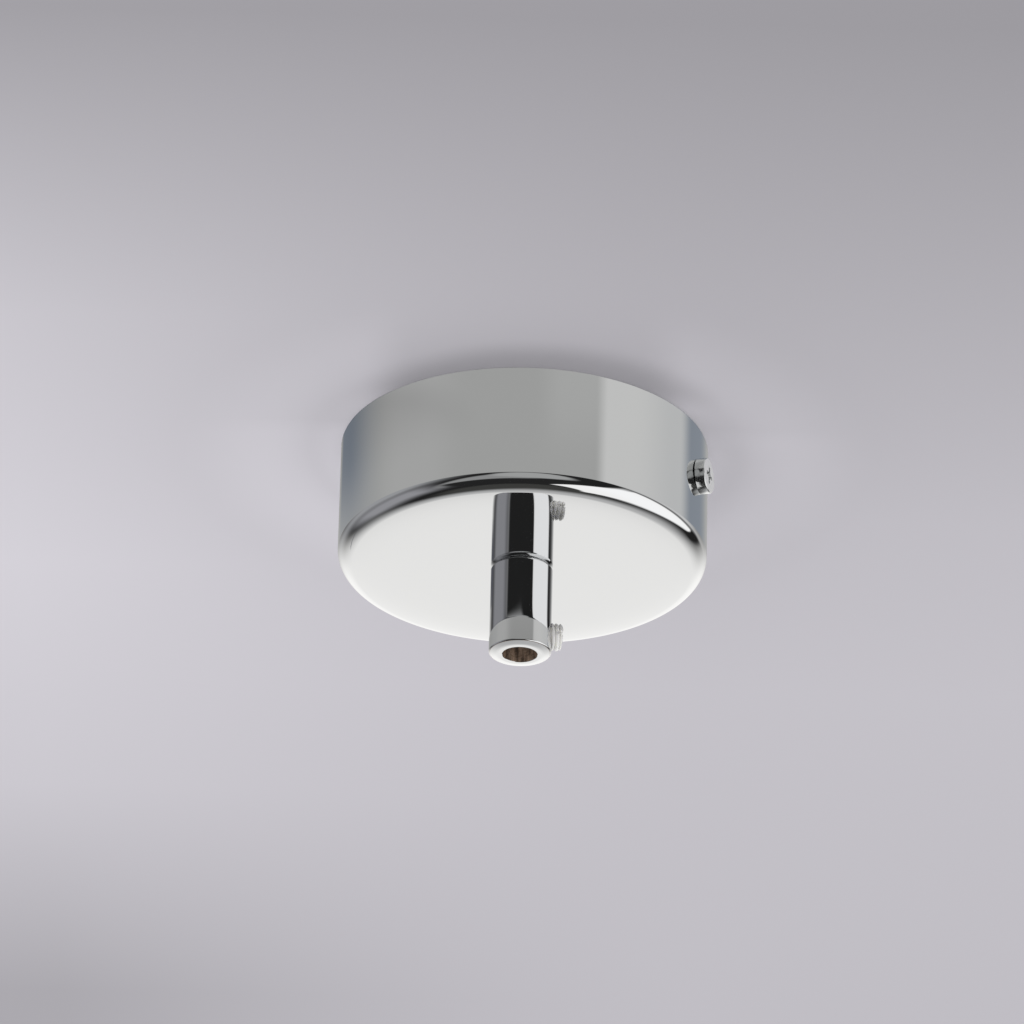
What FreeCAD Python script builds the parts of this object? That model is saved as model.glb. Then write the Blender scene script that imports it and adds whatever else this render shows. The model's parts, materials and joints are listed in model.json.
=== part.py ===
import FreeCAD, Part
import os
import re

import Sketcher

# An electrical ceiling rose: a drawn metal cup under the ceiling, a folded bracket
# with the terminals inside it, and a cord grip with a clamping screw below it.
# The origin is on the ceiling, on the cup's axis. +Z points up at the ceiling,
# and X runs along the bracket through the two cover screws. Sizes are in mm.

SIZES = {
    # The drawn cup
    "cup_radius": 40.0,
    "cup_height": 28.3,
    "cup_sheet": 0.9,
    "cup_edge_radius": 3.3,
    "cup_hole_clearance": 0.2,
    # The cord grip, turned from bar
    "grip_radius": 6.75,
    "grip_length": 20.7,
    "grip_chamfer": 0.6,
    "grip_thread_depth": 6.0,
    "cord_radius": 3.8,
    "mouth_chamfer": 0.3,
    # The grub screw that clamps the cord
    "clamp_radius": 3.0,
    "clamp_length": 5.0,
    "clamp_tip": 4.3,
    "clamp_rise": 4.9,
    "clamp_angle": 27.7,
    "clamp_chamfer": 0.4,
    "clamp_slot_width": 1.0,
    "clamp_slot_depth": 1.4,
    # The hollow threaded tube that carries the grip, with its fasteners
    "nipple_radius": 5.0,
    "nipple_bore": 3.9,
    "nipple_end_gap": 0.5,
    "nipple_above_nut": 2.0,
    "nipple_chamfer": 0.4,
    "flange_radius": 8.5,
    "flange_sheet": 1.2,
    "lock_radius": 7.6,
    "lock_sheet": 0.8,
    "lock_tooth_depth": 1.4,
    "lock_tooth_gap": 1.0,
    "lock_teeth": 12,
    "nipple_nut_across": 14.0,
    "nipple_nut_height": 3.0,
    # Clearances, measured on the radius
    "thread_clearance": 0.05,
    "washer_clearance": 0.2,
    "nut_bevel": 0.5,
    # The cover screw, and the headless one opposite it
    "cover_drop": 11.4,
    "cover_thread_radius": 2.0,
    "cover_thread_length": 8.0,
    "cover_head_radius": 3.9,
    "cover_head_height": 2.2,
    "cover_head_round": 0.3,
    "cover_sink": 0.2,
    "cover_slot_width": 0.8,
    "cover_slot_depth": 1.2,
    "cover_hole_clearance": 0.25,
    "cross_width": 0.9,
    "cross_span": 3.8,
    "cross_depth": 1.5,
    "screw_tip_chamfer": 0.3,
    # The folded bracket
    "strip_sheet": 1.5,
    "strip_width": 14.0,
    "bend_radius": 1.5,
    "tab_clearance": 0.3,
    "tab_below_screw": 5.0,
    "tab_round": 3.0,
    "collar_wall": 1.0,
    "collar_height": 1.2,
    "slot_spacing": 50.0,
    "slot_half_width": 2.25,
    "slot_length": 10.0,
    "cable_hole_radius": 5.5,
    # The bracket's ear and its earth terminal
    "ear_face": 12.0,
    "ear_width": 12.0,
    "ear_round": 2.5,
    "ear_below_screw": 5.0,
    "earth_drop": 8.0,
    "earth_thread_radius": 2.0,
    "earth_thread_length": 8.0,
    "earth_head_radius": 3.5,
    "earth_head_height": 2.4,
    "earth_head_round": 0.6,
    "earth_slot_width": 1.0,
    "earth_slot_depth": 1.2,
    "earth_washer_radius": 4.6,
    "earth_washer_height": 1.8,
    "earth_washer_sheet": 0.7,
    "earth_nut_across": 7.0,
    "earth_nut_height": 2.4,
    # The moulded terminal block
    "block_centre": 18.5,
    "pole_pitch": 12.0,
    "pole_width": 7.0,
    "pole_length": 17.0,
    "pole_height": 9.0,
    "pole_round": 0.7,
    "tower_radius": 3.2,
    "tower_height": 4.0,
    "tower_round": 0.5,
    "screw_spacing": 9.6,
    "web_length": 10.0,
    "web_height": 3.0,
    "access_clearance": 0.25,
    "tongue_margin": 5.0,
    "tongue_round": 3.0,
    # The terminal sleeves and their screws
    "sleeve_width": 5.0,
    "sleeve_height": 6.0,
    "sleeve_length": 14.0,
    "sleeve_round": 0.5,
    "sleeve_roof": 1.2,
    "sleeve_fit": 0.1,
    "sleeve_back_wall": 0.6,
    "wire_radius": 1.7,
    "terminal_thread_radius": 1.5,
    "terminal_screw_length": 6.5,
    "terminal_screw_reach": 0.5,
    "terminal_slot_width": 0.6,
    "terminal_slot_depth": 0.9,
    # The screws that hold the block on the bracket
    "block_thread_radius": 1.25,
    "block_head_radius": 2.25,
    "block_head_height": 1.7,
    "block_head_round": 0.4,
    "block_slot_width": 0.6,
    "block_slot_depth": 0.8,
    "block_screw_gap": 0.2,
}

# Places that several pieces share, as expressions of the sizes
CLAMP_AXIS = "-grip_length + clamp_rise"
CUP_FLOOR = "-cup_height + cup_sheet"
TAB_FACE = "(sqrt((cup_radius - cup_sheet)^2 - (strip_width / 2)^2) - tab_clearance)"
TAB_BACK = f"({TAB_FACE} - strip_sheet)"
COLLAR_END = f"({TAB_BACK} - collar_height)"
BLOCK_BOTTOM = "(pole_height + tower_height)"
SLEEVE_BOTTOM = "(sleeve_roof + sleeve_height)"
WIRE_AXIS = "(sleeve_roof + sleeve_back_wall + wire_radius)"
WIRE_FLOOR = f"({WIRE_AXIS} + wire_radius)"
POLES = (-1, 0, 1)
SIDES = (-1, 1)
# A driver slot's cut is this many radii long, so it runs out at both sides
SLOT_OVERRUN = 3
# Two places count as one within this distance
NEAR = 1e-4

doc = FreeCAD.newDocument("CeilingRose")
sheet = doc.addObject("Spreadsheet::Sheet", "Sizes")
for row, (alias, amount) in enumerate(SIZES.items(), start=1):
    sheet.set(f"A{row}", alias)
    sheet.set(f"B{row}", str(amount))
    sheet.setAlias(f"B{row}", alias)
doc.recompute()

ALIAS = re.compile(r"\b(" + "|".join(SIZES) + r")\b")
parts = []


def bound(expression):
    """Point each size's name in an expression at its cell in the sheet."""
    return ALIAS.sub(r"Sizes.\1", expression)


def measure(expression):
    """Work an expression of the sizes out."""
    return float(sheet.evalExpression(bound(expression)))


def new_body(name):
    """Start a piece, which is kept under this name."""
    body = doc.addObject("PartDesign::Body", name)
    body.Label = name
    parts.append(body)
    return body


def place(body, x="0", y="0", z="0", turn="0"):
    """Move a finished piece to its seat, turned about Z by an angle in degrees."""
    turned = FreeCAD.Rotation(FreeCAD.Vector(0, 0, 1), measure(turn))
    body.Placement = FreeCAD.Placement(FreeCAD.Vector(), turned)
    for axis, expression in (("x", x), ("y", y), ("z", z)):
        body.setExpression(f"Placement.Base.{axis}", bound(expression))
    if ALIAS.search(turn):
        body.setExpression("Placement.Rotation.Angle", bound(turn))


def new_sketch(body, name, plane, offset="0"):
    """Add a sketch on one of the body's own planes, moved along its normal."""
    origin = next(item for item in body.Origin.OriginFeatures if item.Role == plane)
    sketch = body.newObject("Sketcher::SketchObject", name)
    sketch.AttachmentSupport = [(origin, "")]
    sketch.MapMode = "FlatFace"
    sketch.setExpression("AttachmentOffset.Base.z", bound(offset))
    return sketch


def constrain(sketch, expression, kind, *where):
    """Add a constraint whose value follows an expression of the sizes."""
    index = sketch.addConstraint(Sketcher.Constraint(kind, *where, measure(expression)))
    sketch.setExpression(f"Constraints[{index}]", bound(expression))


def fix_point(sketch, geometry, vertex, across, up):
    """Hold one point of a sketch at a distance from the sketch's origin."""
    constrain(sketch, across, "DistanceX", -1, 1, geometry, vertex)
    constrain(sketch, up, "DistanceY", -1, 1, geometry, vertex)


def polygon(sketch, points):
    """Draw a closed outline through points given as pairs of expressions."""
    corners = [FreeCAD.Vector(measure(across), measure(up), 0) for across, up in points]
    first = sketch.GeometryCount
    count = len(points)
    for index in range(count):
        line = Part.LineSegment(corners[index], corners[(index + 1) % count])
        sketch.addGeometry(line, False)
    for index, (across, up) in enumerate(points):
        follows = first + (index + 1) % count
        sketch.addConstraint(Sketcher.Constraint("Coincident", first + index, 2, follows, 1))
        fix_point(sketch, first + index, 1, across, up)


def rectangle(sketch, width, height, across="0", up="0"):
    """Draw a rectangle round a centre."""
    left, right = f"{across} - ({width}) / 2", f"{across} + ({width}) / 2"
    low, high = f"{up} - ({height}) / 2", f"{up} + ({height}) / 2"
    polygon(sketch, [(left, low), (right, low), (right, high), (left, high)])


def circle(sketch, radius, across="0", up="0"):
    """Draw a circle round a centre."""
    centre = FreeCAD.Vector(measure(across), measure(up), 0)
    normal = FreeCAD.Vector(0, 0, 1)
    index = sketch.addGeometry(Part.Circle(centre, normal, measure(radius)), False)
    fix_point(sketch, index, 3, across, up)
    constrain(sketch, radius, "Radius", index)


def turn_profile(body, axis, points):
    """Revolve an outline of (radius, distance along the axis) pairs about X or Z."""
    along_x = axis == "x"
    sketch = new_sketch(body, body.Name + "Profile", "XY_Plane" if along_x else "XZ_Plane")
    polygon(sketch, [(along, radius) if along_x else (radius, along) for radius, along in points])
    feature = body.newObject("PartDesign::Revolution", body.Name + "Turned")
    feature.Profile = sketch
    feature.ReferenceAxis = (sketch, ["H_Axis" if along_x else "V_Axis"])
    feature.Angle = 360
    doc.recompute()


def pad(body, sketch, length, side="One side", reverse=False):
    """Add material from a sketch."""
    feature = body.newObject("PartDesign::Pad", sketch.Name + "Pad")
    feature.Profile = sketch
    feature.SideType = side
    feature.Reversed = reverse
    feature.setExpression("Length", bound(length))
    doc.recompute()


def pocket(body, sketch, length=None, side="One side", reverse=False):
    """Cut a sketch out of the body, to a depth or right through."""
    before = body.Shape.Volume
    feature = body.newObject("PartDesign::Pocket", sketch.Name + "Pocket")
    feature.Profile = sketch
    feature.SideType = side
    feature.Reversed = reverse
    if length is None:
        feature.Type = "ThroughAll"
    else:
        feature.setExpression("Length", bound(length))
    doc.recompute()
    if not feature.Shape.Volume < before:
        raise RuntimeError(f"{feature.Name} cuts nothing")
    return feature


def lies_at(edge, **places):
    """Say whether both ends of an edge lie at the given x, y or z."""
    ends = [vertex.Point for vertex in edge.Vertexes]
    return all(abs(getattr(end, axis) - place) < NEAR for end in ends for axis, place in places.items())


def ring_at(edge, radius, **places):
    """Say whether an edge is a full circle of this radius, at the given x, y or z."""
    round_edge = isinstance(edge.Curve, Part.Circle) and edge.isClosed()
    return round_edge and abs(edge.Curve.Radius - radius) < NEAR and lies_at(edge, **places)


def fillet(body, radius, test):
    """Round the edges of the body's last feature that pass a test."""
    base = body.Tip
    names = [f"Edge{n}" for n, edge in enumerate(base.Shape.Edges, start=1) if test(edge)]
    if not names:
        raise RuntimeError(f"{body.Name} has no edge to round by {radius}")
    feature = body.newObject("PartDesign::Fillet", body.Name + "Round")
    feature.Base = (base, names)
    feature.setExpression("Radius", bound(radius))
    doc.recompute()


def cut_slot(body, kind, face, radius):
    """Cut a driver slot across a screw's end; face is a plane, its offset and a way."""
    plane, offset, reverse = face
    sketch = new_sketch(body, body.Name + "Slot", plane, offset)
    rectangle(sketch, f"{kind}_slot_width", f"{SLOT_OVERRUN} * {radius}")
    pocket(body, sketch, f"{kind}_slot_depth", reverse=reverse)


def make_cup():
    """The drawn cup: one sheet, with a rounded bottom edge and three holes."""
    body = new_body("canopy_cup")
    hole = "nipple_radius + cup_hole_clearance"
    inner = "cup_radius - cup_sheet"
    turn_profile(body, "z", [
        (hole, "-cup_height"), ("cup_radius", "-cup_height"), ("cup_radius", "0"),
        (inner, "0"), (inner, CUP_FLOOR), (hole, CUP_FLOOR),
    ])
    outside, bottom = measure("cup_radius"), measure("-cup_height")
    inside, floor = measure(inner), measure(CUP_FLOOR)
    fillet(body, "cup_edge_radius", lambda edge: ring_at(edge, outside, z=bottom))
    fillet(body, "cup_edge_radius - cup_sheet", lambda edge: ring_at(edge, inside, z=floor))
    sketch = new_sketch(body, "CoverHoles", "YZ_Plane")
    circle(sketch, "cover_thread_radius + cover_hole_clearance", up="-cover_drop")
    pocket(body, sketch, side="Symmetric")


def make_cover_screw():
    """A cheese-head screw with a cross recess; its head seats on the cup's wall."""
    body = new_body("cover_screw_right")
    tip, thread = "-cover_thread_length", "cover_thread_radius"
    turn_profile(body, "x", [
        ("0", tip), (f"{thread} - screw_tip_chamfer", tip), (thread, f"{tip} + screw_tip_chamfer"),
        (thread, "0"), ("cover_head_radius", "0"), ("cover_head_radius", "cover_head_height"),
        ("0", "cover_head_height"),
    ])
    radius, top = measure("cover_head_radius"), measure("cover_head_height")
    fillet(body, "cover_head_round", lambda edge: ring_at(edge, radius, x=top))
    for width, height in (("cross_span", "cross_width"), ("cross_width", "cross_span")):
        sketch = new_sketch(body, "CoverCross", "YZ_Plane", "cover_head_height")
        rectangle(sketch, width, height)
        pocket(body, sketch, "cross_depth")
    place(body, x="cup_radius", z="-cover_drop")


def make_headless_screw():
    """The second cover screw: it ends in the cup's hole, just inside the wall's face."""
    body = new_body("cover_screw_left")
    tip, end, thread = "-cover_thread_length", "-cover_sink", "cover_thread_radius"
    turn_profile(body, "x", [
        ("0", tip), (f"{thread} - screw_tip_chamfer", tip), (thread, f"{tip} + screw_tip_chamfer"),
        (thread, f"{end} - screw_tip_chamfer"), (f"{thread} - screw_tip_chamfer", end), ("0", end),
    ])
    cut_slot(body, "cover", ("YZ_Plane", end, False), thread)
    place(body, x="-cup_radius", z="-cover_drop", turn="180")


def make_grip():
    """The turned grip: threaded above for the nipple, bored below for the cord."""
    body = new_body("cord_grip_body")
    thread = "nipple_radius + thread_clearance"
    outer, inner_edge = "grip_radius", "grip_radius - grip_chamfer"
    turn_profile(body, "z", [
        ("cord_radius", "-grip_length + mouth_chamfer"),
        ("cord_radius + mouth_chamfer", "-grip_length"),
        (inner_edge, "-grip_length"), (outer, "-grip_length + grip_chamfer"),
        (outer, "-grip_chamfer"), (inner_edge, "0"), (thread, "0"),
        (thread, "-grip_thread_depth"), ("cord_radius", "-grip_thread_depth"),
    ])
    sketch = new_sketch(body, "ClampHole", "YZ_Plane")
    circle(sketch, "clamp_radius + thread_clearance", up=CLAMP_AXIS)
    pocket(body, sketch, reverse=True)
    place(body, z="-cup_height", turn="clamp_angle")


def make_grip_screw():
    """The clear grub screw that stands out of the grip and clamps the cord."""
    body = new_body("grip_screw")
    end, edge = "clamp_tip + clamp_length", "clamp_radius - clamp_chamfer"
    turn_profile(body, "x", [
        ("0", "clamp_tip"), (edge, "clamp_tip"), ("clamp_radius", "clamp_tip + clamp_chamfer"),
        ("clamp_radius", f"{end} - clamp_chamfer"), (edge, end), ("0", end),
    ])
    cut_slot(body, "clamp", ("YZ_Plane", end, False), "clamp_radius")
    place(body, z=f"-cup_height + ({CLAMP_AXIS})", turn="clamp_angle")


def make_nipple():
    """The hollow threaded tube, from inside the grip to above its nut."""
    body = new_body("threaded_nipple")
    low = "-cup_sheet - grip_thread_depth + nipple_end_gap"
    high = "flange_sheet + lock_sheet + nipple_nut_height + nipple_above_nut"
    edge = "nipple_radius - nipple_chamfer"
    turn_profile(body, "z", [
        ("nipple_bore", low), (edge, low), ("nipple_radius", f"{low} + nipple_chamfer"),
        ("nipple_radius", f"{high} - nipple_chamfer"), (edge, high), ("nipple_bore", high),
    ])
    place(body, z=CUP_FLOOR)


def make_washer(name, radius, sheet_size, base):
    """A flat ring round the nipple."""
    body = new_body(name)
    hole = "nipple_radius + washer_clearance"
    turn_profile(body, "z", [(hole, "0"), (radius, "0"), (radius, sheet_size), (hole, sheet_size)])
    place(body, z=base)
    return body


def cut_teeth(body):
    """Cut the gaps between the lock washer's outer teeth."""
    sketch = new_sketch(body, "ToothGap", "XY_Plane", "lock_sheet")
    rectangle(sketch, "2 * lock_tooth_depth", "lock_tooth_gap", across="lock_radius")
    gap = pocket(body, sketch)
    pattern = body.newObject("PartDesign::PolarPattern", "ToothGaps")
    pattern.Originals = [gap]
    pattern.Axis = (sketch, ["N_Axis"])
    pattern.Angle = 360
    pattern.setExpression("Occurrences", bound("lock_teeth"))
    body.Tip = pattern
    doc.recompute()


def make_nut(name, across, height, hole):
    """A hexagon nut with bevelled corners, standing on the XY plane."""
    body = new_body(name)
    corner = f"({across}) / sqrt(3)"
    sketch = new_sketch(body, name + "Hexagon", "XY_Plane")
    angles = [60 * index for index in range(6)]
    polygon(sketch, [(f"{corner} * cos({a} deg)", f"{corner} * sin({a} deg)") for a in angles])
    pad(body, sketch, height)
    bevel = new_sketch(body, name + "BevelProfile", "XZ_Plane")
    outside = f"{corner} + nut_bevel"
    inside = f"({across}) / 2"
    polygon(bevel, [(inside, "0"), (outside, "0"), (outside, "2 * nut_bevel")])
    polygon(bevel, [(inside, height), (outside, height), (outside, f"{height} - 2 * nut_bevel")])
    groove = body.newObject("PartDesign::Groove", name + "Bevel")
    groove.Profile = bevel
    groove.ReferenceAxis = (bevel, ["V_Axis"])
    groove.Angle = 360
    doc.recompute()
    bore = new_sketch(body, name + "Bore", "XY_Plane")
    circle(bore, hole)
    pocket(body, bore, reverse=True)
    return body


def make_bracket():
    """The folded strip that is screwed to the ceiling, with an ear and a tongue."""
    body = new_body("mounting_bracket")
    tab_end = "-cover_drop - tab_below_screw"
    ear_end = "-earth_drop - ear_below_screw"
    tongue_end = "block_centre + tongue_margin"

    sketch = new_sketch(body, "Strip", "XZ_Plane")
    polygon(sketch, [
        (f"-{TAB_FACE}", "0"), (TAB_FACE, "0"), (TAB_FACE, tab_end), (TAB_BACK, tab_end),
        (TAB_BACK, "-strip_sheet"), (f"-{TAB_BACK}", "-strip_sheet"),
        (f"-{TAB_BACK}", tab_end), (f"-{TAB_FACE}", tab_end),
    ])
    pad(body, sketch, "strip_width", side="Symmetric")

    sketch = new_sketch(body, "Ear", "YZ_Plane")
    polygon(sketch, [
        ("0", "0"), ("-ear_face", "0"), ("-ear_face", ear_end), ("-ear_face + strip_sheet", ear_end),
        ("-ear_face + strip_sheet", "-strip_sheet"), ("0", "-strip_sheet"),
    ])
    pad(body, sketch, "ear_width", side="Symmetric")

    sketch = new_sketch(body, "Tongue", "XY_Plane")
    reach = "pole_pitch / 2 + tongue_margin"
    polygon(sketch, [(f"-({reach})", "0"), (reach, "0"), (reach, tongue_end), (f"-({reach})", tongue_end)])
    pad(body, sketch, "strip_sheet", reverse=True)

    for side in SIDES:
        sketch = new_sketch(body, "Collar", "YZ_Plane", f"{side} * {COLLAR_END}")
        circle(sketch, "cover_thread_radius + thread_clearance + collar_wall", up="-cover_drop")
        pad(body, sketch, "collar_height", reverse=side < 0)

    bend_bracket(body, tab_end, ear_end, tongue_end)
    drill_bracket(body)


def bend_bracket(body, tab_end, ear_end, tongue_end):
    """Round the bracket's bends and the corners of its tabs, ear and tongue."""
    face, back = measure(TAB_FACE), measure(TAB_BACK)
    sheet_size = measure("strip_sheet")
    ear = measure("ear_face")
    outer = "bend_radius + strip_sheet"
    fillet(body, outer, lambda e: any((
        lies_at(e, x=face, z=0), lies_at(e, x=-face, z=0), lies_at(e, y=-ear, z=0))))
    fillet(body, "bend_radius", lambda e: any((
        lies_at(e, x=back, z=-sheet_size), lies_at(e, x=-back, z=-sheet_size),
        lies_at(e, y=sheet_size - ear, z=-sheet_size))))
    half, low = measure("strip_width / 2"), measure(tab_end)
    fillet(body, "tab_round", lambda e: any(lies_at(e, y=side * half, z=low) for side in SIDES))
    half_ear, ear_low = measure("ear_width / 2"), measure(ear_end)
    fillet(body, "ear_round", lambda e: any(lies_at(e, x=side * half_ear, z=ear_low) for side in SIDES))
    reach, far = measure("pole_pitch / 2 + tongue_margin"), measure(tongue_end)
    fillet(body, "tongue_round", lambda e: any(lies_at(e, x=side * reach, y=far) for side in SIDES))


def drill_bracket(body):
    """Cut the bracket's holes and its two ceiling slots."""
    ends = new_sketch(body, "SlotEnds", "XY_Plane")
    middles = new_sketch(body, "SlotMiddles", "XY_Plane")
    reach = "(slot_length / 2 - slot_half_width)"
    for side in SIDES:
        centre = f"{side} * slot_spacing / 2"
        for end in SIDES:
            circle(ends, "slot_half_width", across=f"{centre} + {end} * {reach}")
        rectangle(middles, f"2 * {reach}", "2 * slot_half_width", across=centre)
    pocket(body, ends)
    pocket(body, middles)

    holes = new_sketch(body, "PlateHoles", "XY_Plane")
    circle(holes, "cable_hole_radius")
    for side in SIDES:
        across = f"{side} * pole_pitch / 2"
        circle(holes, "block_thread_radius + thread_clearance", across=across, up="block_centre")
    pocket(body, holes)

    sketch = new_sketch(body, "TabThreads", "YZ_Plane")
    circle(sketch, "cover_thread_radius + thread_clearance", up="-cover_drop")
    pocket(body, sketch, side="Symmetric")
    sketch = new_sketch(body, "EarthThread", "XZ_Plane")
    circle(sketch, "earth_thread_radius + thread_clearance", up="-earth_drop")
    pocket(body, sketch, side="Symmetric")


def make_earth_terminal():
    """The earth screw in the bracket's ear, with its cup washer and its nut."""
    washer = new_body("earth_cup_washer")
    rim = "earth_washer_radius - earth_washer_sheet"
    web = "earth_washer_height - earth_washer_sheet"
    hole = "earth_thread_radius + washer_clearance"
    turn_profile(washer, "x", [
        (rim, "0"), ("earth_washer_radius", "0"), ("earth_washer_radius", "earth_washer_height"),
        (hole, "earth_washer_height"), (hole, web), (rim, web),
    ])
    place(washer, y="-ear_face", z="-earth_drop", turn="-90")

    screw = new_body("earth_screw")
    tip, thread = "-earth_thread_length", "earth_thread_radius"
    turn_profile(screw, "x", [
        ("0", tip), (f"{thread} - screw_tip_chamfer", tip), (thread, f"{tip} + screw_tip_chamfer"),
        (thread, "0"), ("earth_head_radius", "0"), ("earth_head_radius", "earth_head_height"),
        ("0", "earth_head_height"),
    ])
    radius, top = measure("earth_head_radius"), measure("earth_head_height")
    fillet(screw, "earth_head_round", lambda edge: ring_at(edge, radius, x=top))
    cut_slot(screw, "earth", ("YZ_Plane", "earth_head_height", False), "earth_head_radius")
    place(screw, y="-ear_face - earth_washer_height", z="-earth_drop", turn="-90")

    hole = "earth_thread_radius + thread_clearance"
    nut = make_nut("earth_nut", "earth_nut_across", "earth_nut_height", hole)
    upright = FreeCAD.Rotation(FreeCAD.Vector(1, 0, 0), -90)
    nut.Placement = FreeCAD.Placement(FreeCAD.Vector(), upright)
    nut.setExpression("Placement.Base.y", bound("-ear_face + strip_sheet"))
    nut.setExpression("Placement.Base.z", bound("-earth_drop"))


def screw_points():
    """The places of the six terminal screws, seen from below the block."""
    return [(f"{pole} * pole_pitch", f"{end} * screw_spacing / 2") for pole in POLES for end in SIDES]


def make_block():
    """The moulded block: three poles joined by webs, with a tower for each screw."""
    body = new_body("terminal_block")
    sketch = new_sketch(body, "Webs", "XY_Plane")
    rectangle(sketch, "2 * pole_pitch", "web_length")
    pad(body, sketch, "web_height", reverse=True)
    sketch = new_sketch(body, "Poles", "XY_Plane")
    for pole in POLES:
        rectangle(sketch, "pole_width", "pole_length", across=f"{pole} * pole_pitch")
    pad(body, sketch, "pole_height", reverse=True)
    half, end = measure("pole_width / 2"), measure("pole_length / 2")
    centres = [measure(f"{pole} * pole_pitch") for pole in POLES]
    fillet(body, "pole_round", lambda edge: any(
        lies_at(edge, x=centre + side * half, y=way * end)
        for centre in centres for side in SIDES for way in SIDES))

    sketch = new_sketch(body, "Towers", "XY_Plane", "-pole_height")
    for across, up in screw_points():
        circle(sketch, "tower_radius", across=across, up=up)
    pad(body, sketch, "tower_height", reverse=True)
    radius, bottom = measure("tower_radius"), measure(f"-{BLOCK_BOTTOM}")
    fillet(body, "tower_round", lambda edge: ring_at(edge, radius, z=bottom))

    sketch = new_sketch(body, "Channels", "XZ_Plane")
    for pole in POLES:
        middle = f"-{SLEEVE_BOTTOM} + sleeve_height / 2"
        rectangle(sketch, "sleeve_width + 2 * sleeve_fit", "sleeve_height + 2 * sleeve_fit",
                  across=f"{pole} * pole_pitch", up=middle)
    pocket(body, sketch, side="Symmetric")
    sketch = new_sketch(body, "Access", "XY_Plane", f"-{BLOCK_BOTTOM}")
    for across, up in screw_points():
        circle(sketch, "terminal_thread_radius + access_clearance", across=across, up=up)
    pocket(body, sketch, f"{BLOCK_BOTTOM} - {SLEEVE_BOTTOM}", reverse=True)
    sketch = new_sketch(body, "Fixings", "XY_Plane")
    for side in SIDES:
        circle(sketch, "block_thread_radius + washer_clearance", across=f"{side} * pole_pitch / 2")
    pocket(body, sketch)
    place(body, y="block_centre", z="-strip_sheet")


def make_sleeve(number, pole):
    """A brass sleeve: the wires enter its bore, under two clamping screws."""
    body = new_body(f"terminal_sleeve_{number}")
    sketch = new_sketch(body, f"Bar{number}", "XZ_Plane")
    rectangle(sketch, "sleeve_width", "sleeve_height", up=f"-{SLEEVE_BOTTOM} + sleeve_height / 2")
    pad(body, sketch, "sleeve_length", side="Symmetric")
    half, low = measure("sleeve_width / 2"), measure(f"-{SLEEVE_BOTTOM}")
    high = measure("-sleeve_roof")
    fillet(body, "sleeve_round", lambda edge: any(
        lies_at(edge, x=side * half, z=level) for side in SIDES for level in (low, high)))
    sketch = new_sketch(body, f"Wire{number}", "XZ_Plane")
    circle(sketch, "wire_radius", up=f"-{WIRE_AXIS}")
    pocket(body, sketch, side="Symmetric")
    sketch = new_sketch(body, f"Threads{number}", "XY_Plane", f"-{SLEEVE_BOTTOM}")
    for end in SIDES:
        circle(sketch, "terminal_thread_radius + thread_clearance", up=f"{end} * screw_spacing / 2")
    pocket(body, sketch, f"{SLEEVE_BOTTOM} - {WIRE_AXIS}", reverse=True)
    place(body, x=f"{pole} * pole_pitch", y="block_centre", z="-strip_sheet")


def make_terminal_screw(number, across, up):
    """A grub screw that clamps a wire in its sleeve."""
    body = new_body(f"terminal_screw_{number}")
    tip = f"-{WIRE_FLOOR} + terminal_screw_reach"
    head = f"{tip} - terminal_screw_length"
    thread = "terminal_thread_radius"
    turn_profile(body, "z", [
        ("0", tip), (f"{thread} - screw_tip_chamfer", tip), (thread, f"{tip} - screw_tip_chamfer"),
        (thread, head), ("0", head),
    ])
    cut_slot(body, "terminal", ("XY_Plane", head, True), thread)
    place(body, x=across, y=f"block_centre + {up}", z="-strip_sheet")


def make_block_screw(number, side):
    """A small screw through the block's web into the bracket."""
    body = new_body(f"block_screw_{number}")
    tip = "web_height + strip_sheet - block_screw_gap"
    thread, head = "block_thread_radius", "block_head_radius"
    turn_profile(body, "z", [
        ("0", tip), (f"{thread} - screw_tip_chamfer", tip), (thread, f"{tip} - screw_tip_chamfer"),
        (thread, "0"), (head, "0"), (head, "-block_head_height"), ("0", "-block_head_height"),
    ])
    radius, low = measure(head), measure("-block_head_height")
    fillet(body, "block_head_round", lambda edge: ring_at(edge, radius, z=low))
    cut_slot(body, "block", ("XY_Plane", "-block_head_height", True), head)
    place(body, x=f"{side} * pole_pitch / 2", y="block_centre", z="-strip_sheet - web_height")


def check_document():
    """Stop if any object failed, or if a piece is missing or not one sound solid."""
    for item in doc.Objects:
        if "Invalid" in item.State or "Error" in item.State:
            raise RuntimeError(f"{item.Name} failed: {item.State}")
    for body in parts:
        shape = body.Shape
        if shape.isNull() or not shape.isValid() or len(shape.Solids) != 1:
            raise RuntimeError(f"{body.Name} is not one sound solid")


make_cup()
make_cover_screw()
make_headless_screw()
make_grip()
make_grip_screw()
make_nipple()
make_washer("nipple_washer", "flange_radius", "flange_sheet", CUP_FLOOR)
lock_washer = make_washer("nipple_lock_washer", "lock_radius", "lock_sheet", f"{CUP_FLOOR} + flange_sheet")
cut_teeth(lock_washer)
nipple_nut = make_nut(
    "nipple_nut", "nipple_nut_across", "nipple_nut_height", "nipple_radius + thread_clearance")
place(nipple_nut, z=f"{CUP_FLOOR} + flange_sheet + lock_sheet")
make_bracket()
make_earth_terminal()
make_block()
for number, pole in enumerate(POLES, start=1):
    make_sleeve(number, pole)
for number, (across, up) in enumerate(screw_points(), start=1):
    make_terminal_screw(number, across, up)
for number, side in enumerate(SIDES, start=1):
    make_block_screw(number, side)

doc.recompute()
check_document()
os.makedirs("parts", exist_ok=True)
for body in parts:
    body.Shape.exportStep(f"parts/{body.Label}.step")
print(f"{len(parts)} pieces written")
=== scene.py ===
"""A chrome ceiling rose: its drawn cup, cord grip, bracket, terminals and screws."""

import json
import math

import bmesh
import bpy
from bpy.props import FloatProperty, FloatVectorProperty, IntProperty, PointerProperty
from bpy.types import Operator, Panel, PropertyGroup
from mathutils import Matrix, Vector


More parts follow.
